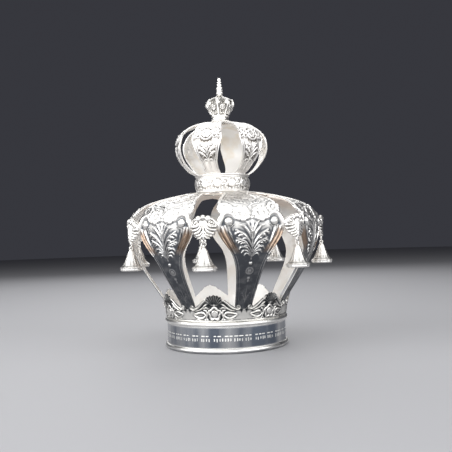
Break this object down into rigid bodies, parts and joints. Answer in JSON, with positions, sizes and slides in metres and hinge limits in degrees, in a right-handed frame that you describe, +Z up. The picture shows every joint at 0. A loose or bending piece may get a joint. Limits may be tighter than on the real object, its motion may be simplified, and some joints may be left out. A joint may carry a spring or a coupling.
{
  "type": "torah crown",
  "caption": "Silver scroll crown: open base drum, chased arms closing over a shoulder, hanging bells, small upper crown, pierced finial and turned spire.",
  "frame": {"origin": "on the crown's axis, at the underside of the base", "axes": "+Z up along the crown's axis; the front bell hangs on the -Y side; +X to the right seen from the front"},
  "size_m": [0.3128, 0.3056, 0.3937],
  "materials": {
    "mirror_silver": "mirror-polished silver",
    "chased_silver": "bright chased silver with darkened recesses",
    "cast_silver": "polished cast silver"
  },
  "bodies": {
    "root": {"base_drum": "mirror_silver", "bell_1": "mirror_silver", "bell_2": "mirror_silver", "bell_3": "mirror_silver", "bell_4": "mirror_silver", "bell_5": "mirror_silver", "bell_6": "mirror_silver", "bell_7": "mirror_silver", "bell_ring_1": "cast_silver", "bell_ring_2": "cast_silver", "bell_ring_3": "cast_silver", "bell_ring_4": "cast_silver", "bell_ring_5": "cast_silver", "bell_ring_6": "cast_silver", "bell_ring_7": "cast_silver", "bow_1": "cast_silver", "bow_2": "cast_silver", "bow_3": "cast_silver", "bow_4": "cast_silver", "bow_5": "cast_silver", "bow_6": "cast_silver", "bow_7": "cast_silver", "crest": "chased_silver", "finial_crown": "cast_silver", "neck_ring": "chased_silver", "spire": "mirror_silver", "stave_1": "chased_silver", "stave_2": "chased_silver", "stave_3": "chased_silver", "stave_4": "chased_silver", "stave_5": "chased_silver", "stave_6": "chased_silver", "stave_7": "chased_silver", "upper_stave_1": "chased_silver", "upper_stave_2": "chased_silver", "upper_stave_3": "chased_silver", "upper_stave_4": "chased_silver", "upper_stave_5": "chased_silver", "upper_stave_6": "chased_silver"}
  },
  "joints": []
}
